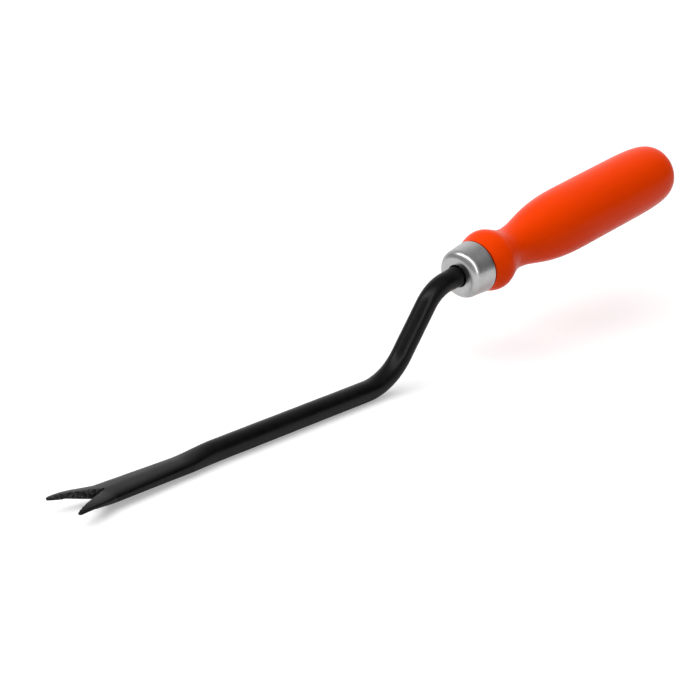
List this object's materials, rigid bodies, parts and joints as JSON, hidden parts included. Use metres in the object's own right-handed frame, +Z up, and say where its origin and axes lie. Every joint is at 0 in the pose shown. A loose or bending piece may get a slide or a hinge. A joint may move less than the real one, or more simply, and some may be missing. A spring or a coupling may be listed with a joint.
{
  "type": "hand weeder",
  "caption": "Hand weeder: cranked round steel shank with a V-notched fork tip, pressed steel ferrule and turned, lacquered wooden grip.",
  "frame": {"origin": "under the middle of the tool, on the plane that the straight shank's underside lies on", "axes": "+X along the straight shank towards the handle, +Z up in the plane of the crank; the fork is at -X and its prongs spread along Y"},
  "size_m": [0.3236, 0.0268, 0.0644],
  "materials": {
    "black_coat": "semi-gloss black coating over forged steel",
    "plated_steel": "satin plated pressed steel",
    "orange_lacquer": "smooth satin-gloss orange lacquer over turned hardwood"
  },
  "bodies": {
    "root": {"shank": "black_coat", "ferrule": "plated_steel", "handle": "orange_lacquer"}
  },
  "joints": []
}
